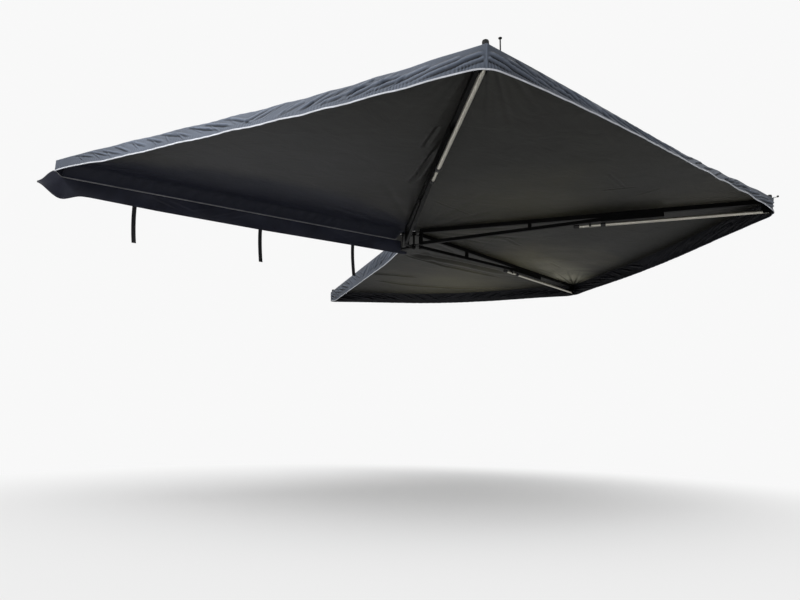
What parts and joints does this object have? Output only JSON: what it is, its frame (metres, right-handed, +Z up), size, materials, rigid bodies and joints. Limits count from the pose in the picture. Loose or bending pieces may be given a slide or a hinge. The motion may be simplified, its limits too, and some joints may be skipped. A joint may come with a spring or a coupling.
{
  "type": "vehicle side awning",
  "caption": "Free-standing fan awning for a roof rack: rail, hub, folding braced arms with stowed telescopic legs, canopy panels with hanging valances, and an opened cover bag.",
  "frame": {"origin": "middle of the mounting rail's back face, which lies against the roof rack", "axes": "+X along the rail to the hub, +Y to the vehicle, +Z up"},
  "size_m": [5.0125, 4.7696, 0.4992],
  "materials": {
    "rail_aluminium": "satin",
    "bright_tube": "satin",
    "black_tube": "black powder coat",
    "black_steel": "black powder coat",
    "zinc": "zinc plated",
    "black_plastic": "matte",
    "black_rubber": "matte",
    "canvas": "ripstop cloth",
    "bag_vinyl": "coated cloth, satin",
    "webbing": "woven webbing"
  },
  "bodies": {
    "base": {"mounting_rail": "rail_aluminium", "rail_end_cap": "black_plastic", "hub_bracket": "black_steel", "hub_pivot_bolt": "zinc", "hub_pivot_nut": "zinc", "hub_bracket_bolt_1": "zinc", "hub_bracket_bolt_2": "zinc", "rack_bracket_front": "black_steel", "rack_bracket_rear": "black_steel", "rack_bolt_front": "zinc", "rack_bolt_rear": "zinc", "cover_bag": "bag_vinyl", "bag_strap_1": "webbing", "bag_strap_2": "webbing", "bag_strap_3": "webbing"},
    "arm_1": {"arm_1_hinge_post": "black_steel", "arm_1_rafter": "black_tube", "arm_1_strut": "black_tube", "arm_1_gusset": "black_steel", "arm_1_tip_bracket": "black_steel", "arm_1_leg_clip": "black_plastic", "canopy_panel_1": "canvas", "guy_pin": "zinc"},
    "leg_1": {"leg_1_outer_tube": "bright_tube"},
    "leg_1_collar": {"leg_1_lock_collar": "black_plastic"},
    "leg_1_inner": {"leg_1_inner_tube": "bright_tube", "leg_1_foot": "black_rubber"},
    "arm_2": {"arm_2_hinge_post": "black_steel", "arm_2_rafter": "black_tube", "arm_2_strut": "black_tube", "arm_2_gusset": "black_steel", "arm_2_tip_bracket": "black_steel", "arm_2_leg_clip": "black_plastic", "canopy_panel_2": "canvas"},
    "leg_2": {"leg_2_outer_tube": "bright_tube"},
    "leg_2_collar": {"leg_2_lock_collar": "black_plastic"},
    "leg_2_inner": {"leg_2_inner_tube": "bright_tube", "leg_2_foot": "black_rubber"},
    "arm_3": {"arm_3_hinge_post": "black_steel", "arm_3_rafter": "black_tube", "arm_3_strut": "black_tube", "arm_3_gusset": "black_steel", "arm_3_tip_bracket": "black_steel", "arm_3_leg_clip": "black_plastic", "canopy_panel_3": "canvas"},
    "leg_3": {"leg_3_outer_tube": "bright_tube"},
    "leg_3_collar": {"leg_3_lock_collar": "black_plastic"},
    "leg_3_inner": {"leg_3_inner_tube": "bright_tube", "leg_3_foot": "black_rubber"},
    "arm_4": {"arm_4_hinge_post": "black_steel", "arm_4_rafter": "black_tube", "arm_4_strut": "black_tube", "arm_4_gusset": "black_steel", "arm_4_tip_bracket": "black_steel", "arm_4_leg_clip": "black_plastic", "canopy_panel_4": "canvas"},
    "leg_4": {"leg_4_outer_tube": "bright_tube"},
    "leg_4_collar": {"leg_4_lock_collar": "black_plastic"},
    "leg_4_inner": {"leg_4_inner_tube": "bright_tube", "leg_4_foot": "black_rubber"}
  },
  "joints": [
    {"name": "arm_1_swing", "type": "hinge", "parent": "base", "child": "arm_1", "pos_m": [1.245, -0.135, 0], "axis": [0, 0, 1], "range_deg": [-66.7, 0], "deforming": ["canopy_panel_1"]},
    {"name": "leg_1_fold", "type": "hinge", "parent": "arm_1", "child": "leg_1", "pos_m": [0.20965, -2.3621, -0.0125], "axis": [-0.9184, 0.3955, 0], "range_deg": [0, 100]},
    {"name": "leg_1_extend", "type": "slide", "parent": "leg_1", "child": "leg_1_inner", "axis": [0.3955, 0.9184, 0], "range_m": [0, 0.6]},
    {"name": "leg_1_collar_turn", "type": "hinge", "parent": "leg_1", "child": "leg_1_collar", "pos_m": [0.61678, -1.41674, -0.0125], "axis": [0.3955, 0.9184, 0], "range_deg": [0, 90]},
    {"name": "arm_2_swing", "type": "hinge", "parent": "arm_1", "child": "arm_2", "pos_m": [1.245, -0.135, 0], "axis": [0, 0, 1], "range_deg": [-64.37, 0], "deforming": ["canopy_panel_2"]},
    {"name": "leg_2_fold", "type": "hinge", "parent": "arm_2", "child": "leg_2", "pos_m": [2.8292, -2.01084, -0.0125], "axis": [-0.7539, -0.657, 0], "range_deg": [0, 100]},
    {"name": "leg_2_extend", "type": "slide", "parent": "leg_2", "child": "leg_2_inner", "axis": [-0.657, 0.7539, 0], "range_m": [0, 0.6]},
    {"name": "leg_2_collar_turn", "type": "hinge", "parent": "leg_2", "child": "leg_2_collar", "pos_m": [2.15299, -1.23483, -0.0125], "axis": [-0.657, 0.7539, 0], "range_deg": [0, 90]},
    {"name": "arm_3_swing", "type": "hinge", "parent": "arm_2", "child": "arm_3", "pos_m": [1.245, -0.135, 0], "axis": [0, 0, 1], "range_deg": [-64.37, 0], "deforming": ["canopy_panel_3"]},
    {"name": "leg_3_fold", "type": "hinge", "parent": "arm_3", "child": "leg_3", "pos_m": [3.61303, 0.51269, -0.0125], "axis": [0.2662, -0.9639, 0], "range_deg": [0, 100]},
    {"name": "leg_3_extend", "type": "slide", "parent": "leg_3", "child": "leg_3_inner", "axis": [-0.9639, -0.2662, 0], "range_m": [0, 0.6]},
    {"name": "leg_3_collar_turn", "type": "hinge", "parent": "leg_3", "child": "leg_3_collar", "pos_m": [2.62086, 0.23871, -0.0125], "axis": [-0.9639, -0.2662, 0], "range_deg": [0, 90]},
    {"name": "arm_4_swing", "type": "hinge", "parent": "arm_3", "child": "arm_4", "pos_m": [1.245, -0.135, 0], "axis": [0, 0, 1], "range_deg": [-64.37, 0], "deforming": ["canopy_panel_4"]},
    {"name": "leg_4_fold", "type": "hinge", "parent": "arm_4", "child": "leg_4", "pos_m": [1.65392, 2.28584, -0.0125], "axis": [0.9842, -0.177, 0], "range_deg": [0, 100]},
    {"name": "leg_4_extend", "type": "slide", "parent": "leg_4", "child": "leg_4_inner", "axis": [-0.177, -0.9842, 0], "range_m": [0, 0.6]},
    {"name": "leg_4_collar_turn", "type": "hinge", "parent": "leg_4", "child": "leg_4_collar", "pos_m": [1.47174, 1.27279, -0.0125], "axis": [-0.177, -0.9842, 0], "range_deg": [0, 90]}
  ],
  "couplings": [
    {"joint": "leg_1_extend", "follows": "leg_1_fold", "m_per_rad": 0.3437},
    {"joint": "leg_2_extend", "follows": "leg_2_fold", "m_per_rad": 0.3437},
    {"joint": "leg_3_extend", "follows": "leg_3_fold", "m_per_rad": 0.3437},
    {"joint": "leg_4_extend", "follows": "leg_4_fold", "m_per_rad": 0.3437}
  ]
}
